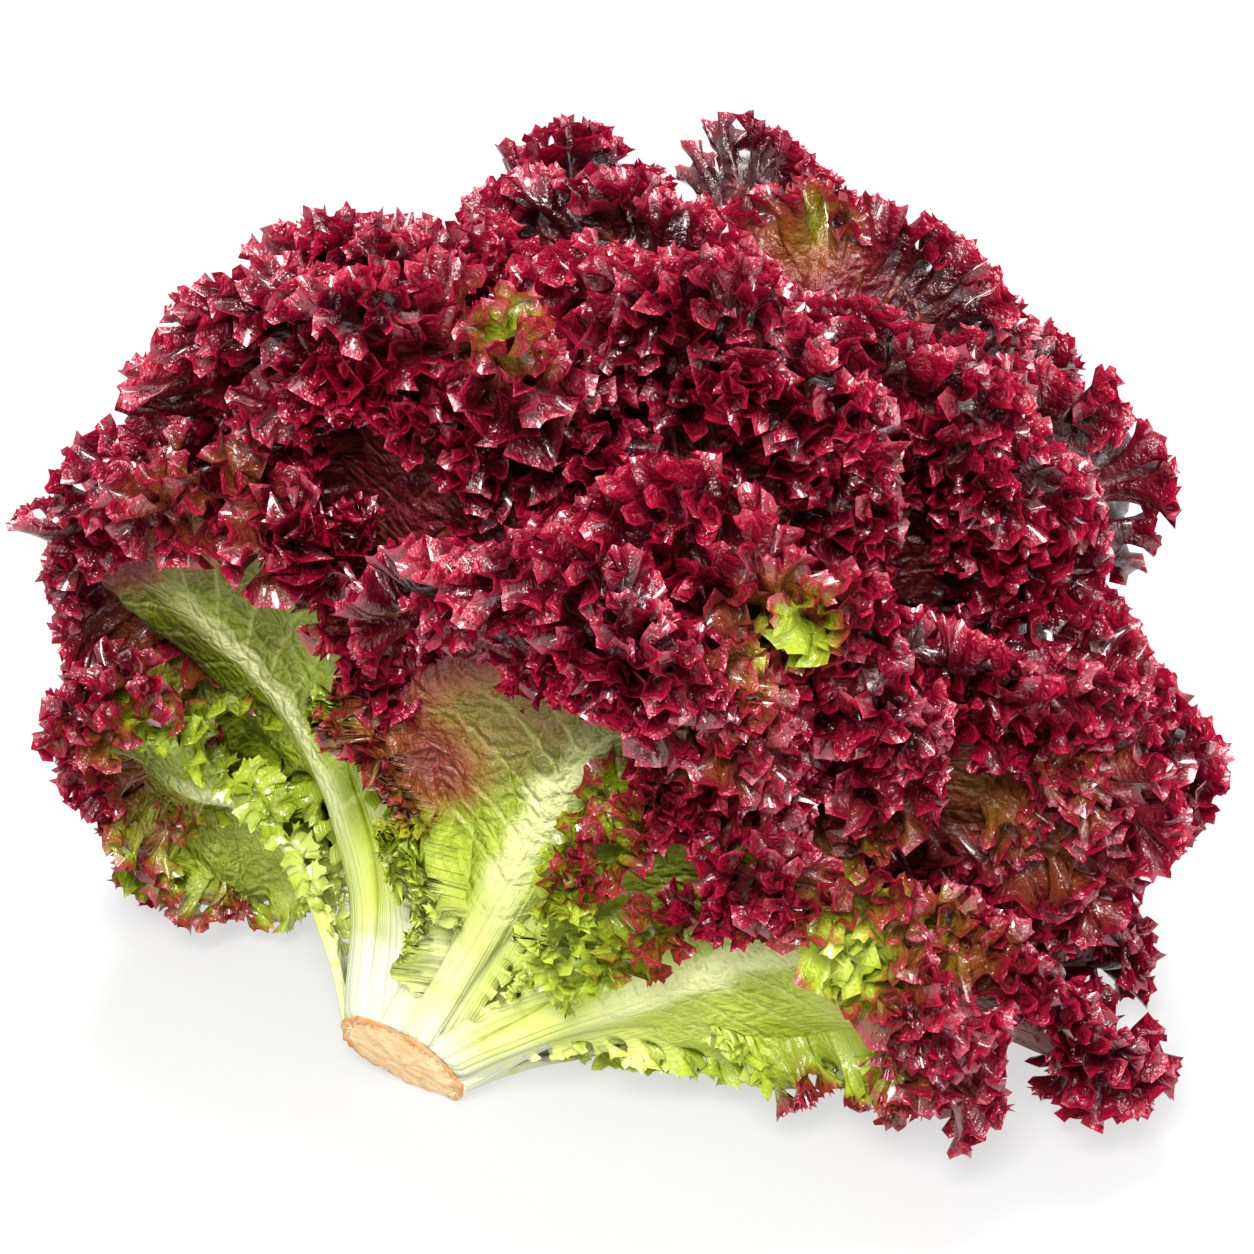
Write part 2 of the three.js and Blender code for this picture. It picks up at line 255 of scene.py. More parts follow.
def leaf_plan(i):
    lean = math.acos(1 - (1 - math.cos(WIDEST_LEAN)) * (LEAF_COUNT - i - 0.5) / LEAF_COUNT)
    in_heart = i - (LEAF_COUNT - HEART_COUNT)
    is_heart = in_heart >= 0
    turn = FIRST_TURN + i * GOLDEN_ANGLE + TURN_SCATTER * scatter(i, 1) + TURNED.get(i, 0)
    foot_height = (
        STEM_TOP + 2 + HEART_FOOT_STEP * in_heart
        if is_heart
        else LOWEST_FOOT + FOOT_STEP * i * (1 + FOOT_STEP_GROWTH * i)
    )
    full_length = mix(OUTER_LENGTH, INNER_LENGTH, smooth(-2, 15, i)) * (HEART_LENGTH if is_heart else 1)
    crowd = smooth(0.2, 0.6, lean)
    return SimpleNamespace(
        index=i,
        is_heart=is_heart,
        lean=lean,
        azimuth=math.radians(turn),
        start_lean=lean * START_LEAN,
        end_lean=lean * END_LEAN + 0.05 * scatter(i, 2),
        length=full_length * (1 + 0.08 * scatter(i, 3)),
        half_width=HALF_WIDTH * mix(HEART_WIDTH, 1, crowd) * (1 + 0.12 * scatter(i, 4)),
        foot_height=foot_height,
        foot_radius=CORE_RADIUS if is_heart else stem_radius(foot_height) + FOOT_GAP + BLADE / 2,
        ruffle=RUFFLE * (HEART_RUFFLE * smooth(0, 0.8, lean) if is_heart else mix(0.5, 1, smooth(0.6, 1.15, lean))),
    )


def flat_leaf(plan, columns):
    """The leaf laid flat, as arrays of rows and columns. Lengths are in mm.
    u: from foot to tip, 0 to 1. q: from the rib to the margin, 0 to 1. across, along: from the rib
    and from the foot. depth: in from the margin. vein: from the rib to the margin. step: between
    columns at the margin."""
    turn = np.linspace(-1, 1, columns + 1)[None, :]  # round the margin, from foot over tip to foot
    u = 1 - np.abs(turn)
    edge_across, edge_along = outline_at((1 + turn) / 2)
    narrowed = mix(min(1, plan.foot_radius / STEM_RADIUS), 1, smooth(0, 0.3, u))
    for leaf, side, start, end, close in DRAWN_MARGINS:
        if leaf == plan.index:
            drawn = smooth(start - 0.08, start, u) * (1 - smooth(end - 0.14, end, u)) * (side * turn > 0)
            narrowed = narrowed * mix(1, close, drawn)
    rib = RIB_LENGTH * u**0.9
    vein = np.hypot(edge_across * plan.half_width, plan.length * (edge_along - rib))
    row = np.arange(ROWS + 1)[:, None]
    shrunk = np.minimum(1, 0.85 * vein / ROW_DEPTHS[0])
    outer = 1 - shrunk * np.interp(row, INNER_ROWS + np.arange(len(ROW_DEPTHS)), ROW_DEPTHS) / vein
    inner = (1 - shrunk * ROW_DEPTHS[0] / vein) * row / INNER_ROWS
    q = np.where(row < INNER_ROWS, inner, outer)
    across = edge_across * narrowed * plan.half_width * q
    along = plan.length * mix(rib, edge_along, q)
    step = np.hypot(np.diff(across[-1]), np.diff(along[-1]))
    return SimpleNamespace(
        u=u + 0 * q, q=q, across=across, along=along, depth=(1 - q) * vein, vein=vein[0], step=step
    )


def leaf_layer(plan, flat):
    """The leaf's middle layer, as the solids have it"""
    bend = (plan.end_lean - plan.start_lean) / plan.length
    end = plan.start_lean + bend * flat.along
    radius = plan.foot_radius + (math.cos(plan.start_lean) - np.cos(end)) / bend
    height = plan.foot_height + (np.sin(end) - math.sin(plan.start_lean)) / bend
    height = height - plan.foot_drop * (1 - smooth(0, 0.17, flat.u)) ** 2
    azimuth = plan.azimuth + flat.across / np.maximum(radius, plan.foot_radius)
    reach = np.hypot(radius, height)
    lean = np.arctan2(radius, height)
    # Folded
    share = smooth(0.14, 0.42, flat.u) * smooth(0.2, 1, flat.q)
    fold = (
        RUFFLE_TURN * azimuth
        + RUFFLE_REACH * reach
        + RUFFLE_WANDER * np.sin(0.05 * reach - 3 * azimuth)
        + RUFFLE_DRIFT * plan.index
    )
    lean = lean + plan.ruffle * share * smooth(*RUFFLED_REACH, reach) * np.sin(fold) / reach
    # Settled
    gives = smooth(*SETTLED_REACH, reach)
    spread = lobe(SPREAD, azimuth) - lobe(PRESSED, azimuth) - lobe(DRAWN_IN, azimuth)
    shorter = sum(lobe(side, azimuth) for side in SHORTER) * np.sin(lean) ** 2
    slow = 0.6 * np.sin(5 * azimuth + 0.03 * reach + 0.9) + 0.4 * np.sin(9 * azimuth - 0.04 * reach)
    wave = (WAVE / reach) * smooth(*WAVED_REACH, reach) * slow * np.sin(lean)
    reach, lean = reach * (1 - gives * shorter), lean * (1 + gives * spread) + wave
    # As it lies
    radius, height = reach * np.sin(lean), reach * np.cos(lean)
    up = radius * np.cos(azimuth)
    x = BUTT_CENTRE[0] + height * math.cos(AXIS_RISE) - up * math.sin(AXIS_RISE)
    y = BUTT_CENTRE[1] + radius * np.sin(azimuth)
    z = BUTT_CENTRE[2] + height * math.sin(AXIS_RISE) + up * math.cos(AXIS_RISE)
    point = np.stack([x, y, z], axis=-1)
    settles = smooth(15, 60, np.linalg.norm(point - BUTT_CENTRE, axis=-1))[..., None]
    point = BUTT_CENTRE + (point - BUTT_CENTRE) * mix(1, SETTLED, settles)
    moved = point
    for place, size, (right, up) in PUSHED:
        near = np.exp(-(((point - place) / size) ** 2).sum(axis=-1, keepdims=True))
        moved = moved + near * (right * PHOTO_RIGHT + up * PHOTO_UP)
    return moved


def rest_on_floor(point, half):
    away = np.hypot(point[..., 0] - BUTT_CENTRE[0], point[..., 1] - BUTT_CENTRE[1])
    bend = np.maximum(0.5, FLOOR_BEND * smooth(*FLOOR_BEND_REACH, away))
    z = point[..., 2] - half
    lies = half + np.maximum(0, z + bend) ** 2 / (4 * bend)
    point[..., 2] = np.where(z < bend, lies, point[..., 2])
    return point


def unit(v):
    return v / np.maximum(np.linalg.norm(v, axis=-1, keepdims=True), 1e-9)


def directions(point):
    """Unit directions along the margin, out towards it, and away from the head's axis"""
    along, outward = unit(np.gradient(point, axis=1)), unit(np.gradient(point, axis=0))
    return along, outward, unit(np.cross(outward, along))


def wandering(draw, s, size, waves):
    """A slow random line through s, made of a few waves of the given lengths"""
    return sum(size * np.sin(2 * math.pi * s / w + draw.uniform(0, 2 * math.pi)) for w in waves)


def roll_margin(point, plan, flat, roll, draw):
    """The blade turns out and back in towards its margin, more and more"""
    step = np.linalg.norm(np.diff(point[-1], axis=0), axis=-1)
    s = np.concatenate([[0], np.cumsum(step)])
    local = mix(0.6, 1, smooth(0.25, 0.55, flat.u[0]))
    deep = np.minimum(roll.depth, roll.share * flat.vein) * local
    pitch = roll.pitch[0] + roll.pitch[1] * deep
    wander = 1 + wandering(draw, s, 0.1, np.array([8.1, 4.9, 3.3]) * roll.depth / 2)
    turns = np.concatenate([[0], np.cumsum(step / (pitch * wander)[1:])])
    phase = 2 * math.pi * turns + draw.uniform(0, 6) + 0.03 * flat.depth
    tall = 1 + wandering(draw, s, 0.15, np.array([5.3, 3.1, 1.9]) * roll.depth / 2)
    grown = tall * smooth(0.05, 0.2, flat.u) * plan.roll
    t = np.clip(1 - flat.depth / np.maximum(deep, 0.5), 0, 1)
    turn = roll.turn * grown * np.sin(phase)
    parts = (np.arange(16) + 0.5) / 16
    rise = sum(np.sin(turn * (t * part) ** roll.growth) for part in parts) / len(parts)
    retreat = sum(np.cos(turn * (t * part) ** roll.growth) - 1 for part in parts) / len(parts)
    size = deep * t
    curl = -roll.curl * pitch * grown * t**1.3 * np.sin(2 * phase)
    along, outward, away = directions(point)
    return point + (size * rise)[..., None] * away + (size * retreat)[..., None] * outward + curl[..., None] * along


def add_teeth(point, flat, draw):
    """Sharp teeth at uneven steps along the margin, each at a column of the mesh"""
    last = point.shape[1] - 1
    at = np.concatenate([[0], np.cumsum(draw.choice(TOOTH_COLUMNS, size=last))])
    at = np.append(at[at < last], last)
    size, lift = draw.uniform(0.4, 1.15, len(at)), draw.uniform(-1, 1, len(at))
    column = np.arange(last + 1)
    k = np.clip(np.searchsorted(at, column, side="right") - 1, 0, len(at) - 2)
    f = (column - at[k]) / (at[k + 1] - at[k])
    nearest = np.where(f < 0.5, k, k + 1)
    sharp = np.abs(2 * f - 1) ** 1.7
    grown = TOOTH * np.clip(1 - flat.depth / TOOTH_DEPTH, 0, 1) * smooth(0.1, 0.26, flat.u) * sharp
    _, outward, away = directions(point)
    return point + grown[..., None] * (size[nearest, None] * outward + 0.4 * lift[nearest, None] * away)


def crest(fold, flat, point, columns, draw):
    """A strip that stands on the blade's outer face, laid flat, and the same strip in place"""
    fine = point.shape[1] - 1
    s = np.concatenate([[0], np.cumsum(flat.step)])
    base_depth = np.minimum(fold.depth + wandering(draw, s, 2.5, (61, 37)), 0.8 * flat.vein)
    near = np.abs(flat.depth - base_depth).argmin(axis=0), np.arange(fine + 1)
    pick = np.round(np.linspace(fold.start, fold.end, columns + 1) * fine).astype(int)
    soft = np.ones(17) / 17

    def line(values):
        values = np.stack([np.convolve(np.pad(v, 8, "edge"), soft, "valid") for v in values[near].T], axis=-1)
        return values[pick][None]

    _, outward, away = directions(point)
    share = np.linspace(0, 1, columns + 1)
    ends = smooth(0.0, 0.12, share) * smooth(0.0, 0.12, 1 - share)
    tall = fold.height * (1 - np.array(CREST_ROWS))[:, None] * mix(0.25, 1, ends)
    tall = tall * (1 + wandering(draw, s[pick], 0.12, (33, 19)))
    leaning = math.cos(CREST_TILT) * line(away) + math.sin(CREST_TILT) * line(outward)
    strip = line(point) + (tall - 0.2)[..., None] * unit(leaning)
    laid = SimpleNamespace(
        u=flat.u[0, pick][None] + 0 * tall,
        q=0.8 + 0.2 * tall / fold.height,
        across=s[pick][None] + 0 * tall,
        along=150 + tall,
        depth=np.max(tall, axis=0)[None] - tall,
        vein=np.max(tall, axis=0),
        step=np.diff(s[pick]),
    )
    return laid, strip


def cloud(place, size, seed):
    """Smooth random patches, mostly between -1 and 1, about size apart"""
    draw = np.random.default_rng(seed)
    total = 0
    for _ in range(14):
        way = draw.normal(size=3)
        way *= 2 * math.pi / size * draw.uniform(0.5, 1.4) / np.linalg.norm(way)
        total = total + np.sin(place @ way + draw.uniform(0, 2 * math.pi))
    return total / 3.8


def deselect_all():
    bpy.ops.object.select_all(action="DESELECT")


def only(obj):
    deselect_all()
    obj.select_set(True)
    bpy.context.view_layer.objects.active = obj


def coordinates(mesh):
    co = np.empty(len(mesh.vertices) * 3)
    mesh.vertices.foreach_get("co", co)
    return co.reshape(-1, 3)


def move_vertices(mesh, co):
    mesh.vertices.foreach_set("co", np.ascontiguousarray(co, dtype=np.float32).ravel())
    mesh.update()


def sheet_blank(name, first_row, last_row, columns, doubled_at, finest):
    """A flat sheet from which leaves are shaped, with more columns towards its last row. Its
    attributes give each point's row and column, of the finest columns. On a rib, the first
    row's halves are one."""
    rows = last_row - first_row
    bpy.ops.mesh.primitive_grid_add(x_subdivisions=columns, y_subdivisions=rows, size=2)
    blank = bpy.context.object
    blank.name = name
    mesh = blank.data
    for row in doubled_at:
        bpy.ops.object.mode_set(mode="EDIT")
        bpy.ops.mesh.select_mode(type="EDGE")
        bpy.ops.mesh.select_all(action="DESELECT")
        bpy.ops.object.mode_set(mode="OBJECT")
        height = first_row + (coordinates(mesh)[:, 1] + 1) / 2 * rows
        ends = np.empty(len(mesh.edges) * 2, dtype=np.int32)
        mesh.edges.foreach_get("vertices", ends)
        a, b = height[ends[::2]], height[ends[1::2]]
        mesh.edges.foreach_set("select", (np.abs(a - b) < 0.01) & (a > row - 0.01))
        bpy.ops.object.mode_set(mode="EDIT")
        bpy.ops.mesh.subdivide(number_cuts=1, ngon=False)
        bpy.ops.object.mode_set(mode="OBJECT")
    co = coordinates(mesh)
    row = first_row + np.round((co[:, 1] + 1) / 2 * rows)
    set_attribute(mesh, "row", "FLOAT", row)
    set_attribute(mesh, "column", "FLOAT", np.round((co[:, 0] + 1) / 2 * finest))
    if columns < finest and not doubled_at:
        co[row == 0, 0] = -np.abs(co[row == 0, 0])
        move_vertices(mesh, co)
        bpy.ops.object.mode_set(mode="EDIT")
        bpy.ops.mesh.select_mode(type="VERT")
        bpy.ops.mesh.select_all(action="SELECT")
        bpy.ops.mesh.remove_doubles(threshold=1e-5)
        bpy.ops.object.mode_set(mode="OBJECT")
    return blank


def get_attribute(mesh, name):
    values = np.empty(len(mesh.vertices))
    mesh.attributes[name].data.foreach_get("value", values)
    return values.astype(int)


def set_attribute(mesh, name, kind, values):
    attribute = mesh.attributes.new(name, kind, "POINT")
    key = "value" if kind == "FLOAT" else "vector"
    attribute.data.foreach_set(key, np.ascontiguousarray(values, dtype=np.float32).ravel())


def shape_sheet(blank, name, plan, flat, point):
    """A copy of the blank in the shape of the points"""
    leaf = blank.copy()
    leaf.data = blank.data.copy()
    leaf.name = name
    bpy.context.scene.collection.objects.link(leaf)
    mesh = leaf.data
    at = get_attribute(mesh, "row"), get_attribute(mesh, "column")
    for spent in ("row", "column"):
        mesh.attributes.remove(mesh.attributes[spent])
    move_vertices(mesh, point[at] * MM)
    reach = np.linalg.norm(point - BUTT_CENTRE, axis=-1)
    patches = cloud(point, 26, 11)
    redder, riper = 0, reach
    for place, radius, red, ripe in PATCHES:
        near = np.exp(-(((point - place) / radius) ** 2).sum(axis=-1))
        redder, riper = redder + near * red, riper + near * ripe
    flush = np.clip(flush_at(plan, flat, reach, patches) + redder, 0, 1)
    pattern = np.stack([flat.across, flat.along + 300.0 * plan.index, flat.across], axis=-1)
    pattern[..., :2] += 1.6 * np.stack([cloud(pattern, 14, 5), cloud(pattern, 14, 6)], axis=-1)
    set_attribute(mesh, "flat", "FLOAT_VECTOR", pattern[at] * 0.1)
    set_attribute(mesh, "veins", "FLOAT_VECTOR", np.stack([flat.u, flat.q, flat.depth], axis=-1)[at])
    set_attribute(mesh, "tone", "FLOAT_VECTOR", np.stack([riper, patches, flush], axis=-1)[at])
    only(leaf)
    return leaf, at


def shape_leaf(blanks, folds, plan, columns, name):
    thick_blank, frill_blank, crest_blank = blanks
    flat = flat_leaf(plan, columns * FRILL_COLUMNS * 2 ** len(DOUBLED_AT))
    draw = np.random.default_rng(100 + plan.index)
    layer = leaf_layer(plan, flat)
    point = layer
    for roll in ROLLS:
        point = roll_margin(point, plan, flat, roll, draw)
    folded = point
    point = rest_on_floor(add_teeth(point, flat, draw), 0.4)
    _, _, away = directions(point)
    leaf, at = shape_sheet(thick_blank, name, plan, flat, point)
    solid = leaf.modifiers.new("thickness", "SOLIDIFY")
    solid.thickness = SHEET * MM
    solid.offset = 1
    bpy.ops.object.modifier_apply(modifier="thickness")
    # The rib is fleshy
    share = np.clip(flat.along / plan.length, 0, 1)
    fleshy = mix(1.0, 0.1, share**0.8) * (1 - smooth(RIB_LENGTH, 1, share))
    width = mix(*FLESH_WIDTH, share**0.7) * WIDE_RIBS.get(plan.index, 1)
    fleshy = FLESH * fleshy * np.exp(-((flat.across / width) ** 2))
    fleshy = fleshy * mix(0.3, 1, smooth(0, 0.14, flat.u))
    co = coordinates(leaf.data)
    count = len(at[0])
    co[count : 2 * count] += (fleshy[..., None] * away)[at] * MM
    # It ends as a thin edge on the outer face of the frills
    ends = ((at[0] - INNER_ROWS) / (THICK_ROWS - INNER_ROWS)).clip(0, 1)[:, None] * away[at] * MM
    co[:count] += 0.12 * ends
    co[count : 2 * count] -= 0.16 * ends
    move_vertices(leaf.data, co)
    shape_sheet(frill_blank, name + "_frills", plan, flat, point)
    leaf.select_set(True)
    bpy.context.view_layer.objects.active = leaf
    bpy.ops.object.join()
    co = coordinates(leaf.data)
    # The feet are cut off with the stem
    off = co - BUTT_CENTRE * MM
    high_side = math.cos(CUT_HIGH) * TOP_SIDE + math.sin(CUT_HIGH) * LEFT_SIDE
    above = off @ AXIS - CUT_SLOPE * (off @ high_side)
    short = np.where(np.linalg.norm(off, axis=1) < 24 * MM, np.maximum(0, TRIMMED * MM - above), 0)
    move_vertices(leaf.data, co + short[:, None] * AXIS)
    for fold in folds:
        laid, strip = crest(fold, flat, folded, CREST_COLUMNS * 2 ** len(CREST_DOUBLED_AT), draw)
        for roll in CREST_ROLLS:
            strip = roll_margin(strip, plan, laid, roll, draw)
        strip = rest_on_floor(add_teeth(strip, laid, draw), 0.4)
        shape_sheet(crest_blank, name + "_crest", plan, laid, strip)
        leaf.select_set(True)
        bpy.context.view_layer.objects.active = leaf
        bpy.ops.object.join()
    co = coordinates(leaf.data)
    co[:, 2] = np.maximum(co[:, 2], 0.0001)
    move_vertices(leaf.data, co)
    bpy.ops.object.shade_smooth()
    return leaf


def flush_at(plan, flat, reach, patches):
    """How red a leaf is: 0 is green and 1 is red"""
    start = 62 + 16 * scatter(plan.index, 7) + plan.green_depth * np.minimum(flat.depth, 40)
    red = smooth(start, start + 56, reach)
    return red + 0.5 * patches * (1 - np.abs(2 * red - 1))


class Value:
    """A shader value that takes + - * / and a few more sums"""

    def __init__(self, paint, socket):
        self.paint, self.socket = paint, socket

    def sum(self, kind, *others, clamp=False):
        node = self.paint.tree.nodes.new("ShaderNodeMath")
        node.operation = kind
        node.use_clamp = clamp
        for slot, value in zip(node.inputs, (self, *others)):
            self.paint.feed(slot, value)
        return Value(self.paint, node.outputs[0])

    def __add__(self, other):
        return self.sum("ADD", other)

    __radd__ = __add__

    def __mul__(self, other):
        return self.sum("MULTIPLY", other)

    __rmul__ = __mul__

    def __sub__(self, other):
        return self.sum("SUBTRACT", other)

    def __rsub__(self, other):
        return (self * -1.0) + other

    def __truediv__(self, other):
        return self.sum("DIVIDE", other)

    def __pow__(self, other):
        return self.sum("POWER", other)

    def clamped(self):
        return self.sum("ADD", 0.0, clamp=True)

    def ramp(self, low, high):
        """0 below low, 1 above high, smooth between"""
        return self.paint.node(
            "ShaderNodeMapRange",
            {"interpolation_type": "SMOOTHSTEP"},
            {"Value": self, "From Min": low, "From Max": high},
        )["Result"]


class Paint:
    """One material and the nodes in it"""

    def __init__(self, name):
        self.material = bpy.data.materials.new(name)
        self.material.use_nodes = True
        self.tree = self.material.node_tree
        self.tree.nodes.clear()

    def feed(self, slot, value):
        if isinstance(value, Value):
            self.tree.links.new(value.socket, slot)
        else:
            slot.default_value = value

    def node(self, kind, settings=None, inputs=None):
        node = self.tree.nodes.new(kind)
        for key, value in (settings or {}).items():
            if key == "stops":
                ramp = node.color_ramp
                while len(ramp.elements) < len(value):
                    ramp.elements.new(0.5)
                for element, (at, colour) in zip(ramp.elements, value):
                    element.position, element.color = at, (*colour, 1)
            else:
                setattr(node, key, value)
        for key, value in (inputs or {}).items():
            self.feed(node.inputs[key], value)
        return Outputs(self, node)

    def blend(self, factor, first, second, kind="MIX"):
        mixer = self.tree.nodes.new("ShaderNodeMix")
        mixer.data_type = "RGBA"
        mixer.blend_type = kind
        self.feed(mixer.inputs[0], factor)
        self.feed(mixer.inputs[6], first if isinstance(first, Value) else (*first, 1))
        self.feed(mixer.inputs[7], second if isinstance(second, Value) else (*second, 1))
        return Value(self, mixer.outputs[2])


class Outputs:
    def __init__(self, paint, node):
        self.paint, self.made = paint, node

    def __getitem__(self, name):
        return Value(self.paint, self.made.outputs[name])


def srgb(red, green, blue):
    """A colour from its screen values, 0 to 255"""
    return tuple((c / 255 / 12.92) if c < 10.4 else ((c / 255 + 0.055) / 1.055) ** 2.4 for c in (red, green, blue))


def leaf_material(name):
    paint = Paint(name)
    spot = paint.node("ShaderNodeTexCoord")["Object"]
    flat = paint.node("ShaderNodeAttribute", {"attribute_name": "flat"})["Vector"]
    veins = paint.node("ShaderNodeAttribute", {"attribute_name": "veins"})["Vector"]
    tone = paint.node("ShaderNodeAttribute", {"attribute_name": "tone"})["Vector"]
    parts = paint.node("ShaderNodeSeparateXYZ", None, {"Vector": veins})
    u, q, depth = parts["X"], parts["Y"], parts["Z"]
    tones = paint.node("ShaderNodeSeparateXYZ", None, {"Vector": tone})
    reach, patches, flush = tones["X"], tones["Y"], tones["Z"]
    place = paint.node("ShaderNodeSeparateXYZ", None, {"Vector": flat})
    across = place["X"]
    fine = paint.node(
        "ShaderNodeTexNoise", None, {"Vector": spot, "Scale": 300.0, "Detail": 3.0, "Roughness": 0.6}
    )["Fac"]
    net = paint.node(
        "ShaderNodeTexVoronoi",
        {"voronoi_dimensions": "2D", "feature": "DISTANCE_TO_EDGE"},
        {"Vector": flat, "Scale": 2.0},
    )["Distance"]
    far = reach.ramp(30.0, 85.0)
    vein = (1 - net.ramp(0.0, 0.1)) * far
    # Side veins run from the rib to the margin
    lines = (u + (fine - 0.5) * 0.02) * 12.0
    off = paint.node("ShaderNodeMath", {"operation": "PINGPONG"}, {0: lines, 1: 0.5})["Value"]
    side_vein = (1 - off.ramp(0.0, 0.13)) * q.ramp(0.0, 0.08) * (1 - q.ramp(0.5, 0.9))
    rib = (1 - across.sum("ABSOLUTE").ramp(0.12, 0.75)) * (1 - u.ramp(0.7, 1.0))
    streak = paint.node("ShaderNodeTexNoise", {"noise_dimensions": "1D"}, {"W": place["Z"], "Scale": 9.0, "Detail": 1.0})["Fac"]
    # From the foot outwards
    green = paint.node(
        "ShaderNodeValToRGB",
        {
            "stops": [
                (0.0, srgb(240, 240, 222)),
                (0.14, srgb(230, 234, 186)),
                (0.26, srgb(220, 230, 116)),
                (0.4, srgb(190, 208, 62)),
                (0.56, srgb(150, 168, 28)),
                (0.8, srgb(108, 112, 14)),
                (1.0, srgb(94, 84, 14)),
            ]
        },
        {"Fac": (reach * 0.0075 + patches * 0.1 + (fine - 0.5) * 0.25 * far).clamped()},
    )["Color"]
    green = paint.blend(vein * 0.22, green, srgb(188, 200, 84))
    green = paint.blend(side_vein * 0.5, green, srgb(200, 210, 104))
    green = paint.blend(rib * reach.ramp(30.0, 60.0) * (1 - reach.ramp(100.0, 145.0)) * 0.85, green, srgb(238, 242, 170))
    green = paint.blend((1 - far) * streak.ramp(0.45, 0.75) * 0.45, green, srgb(186, 206, 96))
    # Between green and red the blade is olive, then a brown red
    redness = (flush + (fine - 0.5) * 0.3 + (1 - depth.ramp(0.0, 3.0)) * 0.22 * flush.ramp(0.0, 0.3)).clamped()
    blush = paint.node(
        "ShaderNodeValToRGB",
        {"stops": [(0.0, srgb(176, 154, 46)), (0.4, srgb(142, 82, 32)), (0.75, srgb(122, 26, 36)), (1.0, srgb(116, 8, 34))]},
        {"Fac": redness},
    )["Color"]
    red = paint.blend((patches * 0.5 + 0.5).clamped(), srgb(98, 4, 26), srgb(142, 8, 38))
    # Painted shade: the red darkens with depth in from the margin, standing in for the shade in the pockets between
    # the frills
    red = paint.blend(depth.ramp(0.6, 7.5) * 0.88, red, srgb(40, 1, 9))
    red = paint.blend(depth.ramp(13.0, 28.0) * 0.75, red, srgb(104, 20, 24))
    red = paint.blend(redness.ramp(0.75, 1.0), blush, red)
    inside = depth.ramp(6.0, 16.0)
    red = paint.blend(vein * inside * 0.4, red, srgb(160, 66, 44))
    red = paint.blend(side_vein * inside * 0.45, red, srgb(160, 84, 52))
    # Brighter crimson along the margin: partly the leaf's own edge colour, partly a painted highlight on the rim
    red = paint.blend((1 - depth.ramp(0.0, 1.8)) * 0.5, red, srgb(196, 24, 66))
    colour = paint.blend(redness.ramp(0.06, 0.42), green, red)
    # Relief: the blade swells between its veins
    swell = (net.ramp(0.0, 0.4) * 0.7 * inside + fine * 2.4 - side_vein * 0.5) * far + streak * (1 - far) * 0.8
    bump = paint.node("ShaderNodeBump", None, {"Strength": 0.9, "Distance": 0.001, "Height": swell})["Normal"]
    surface = paint.node(
        "ShaderNodeBsdfPrincipled",
        None,
        {
            "Base Color": colour,
            "Roughness": inside * 0.2 + 0.25,
            "Specular IOR Level": 0.8,
            "Coat Weight": 1 - inside,
            "Coat Roughness": 0.14,
            "Normal": bump,
        },
    )["BSDF"]
    glow = paint.node("ShaderNodeBsdfTranslucent", None, {"Color": colour})["BSDF"]
    both = paint.node("ShaderNodeMixShader", None, {0: 0.2, 1: surface, 2: glow})["Shader"]
    paint.node("ShaderNodeOutputMaterial", None, {"Surface": both})
    return paint.material


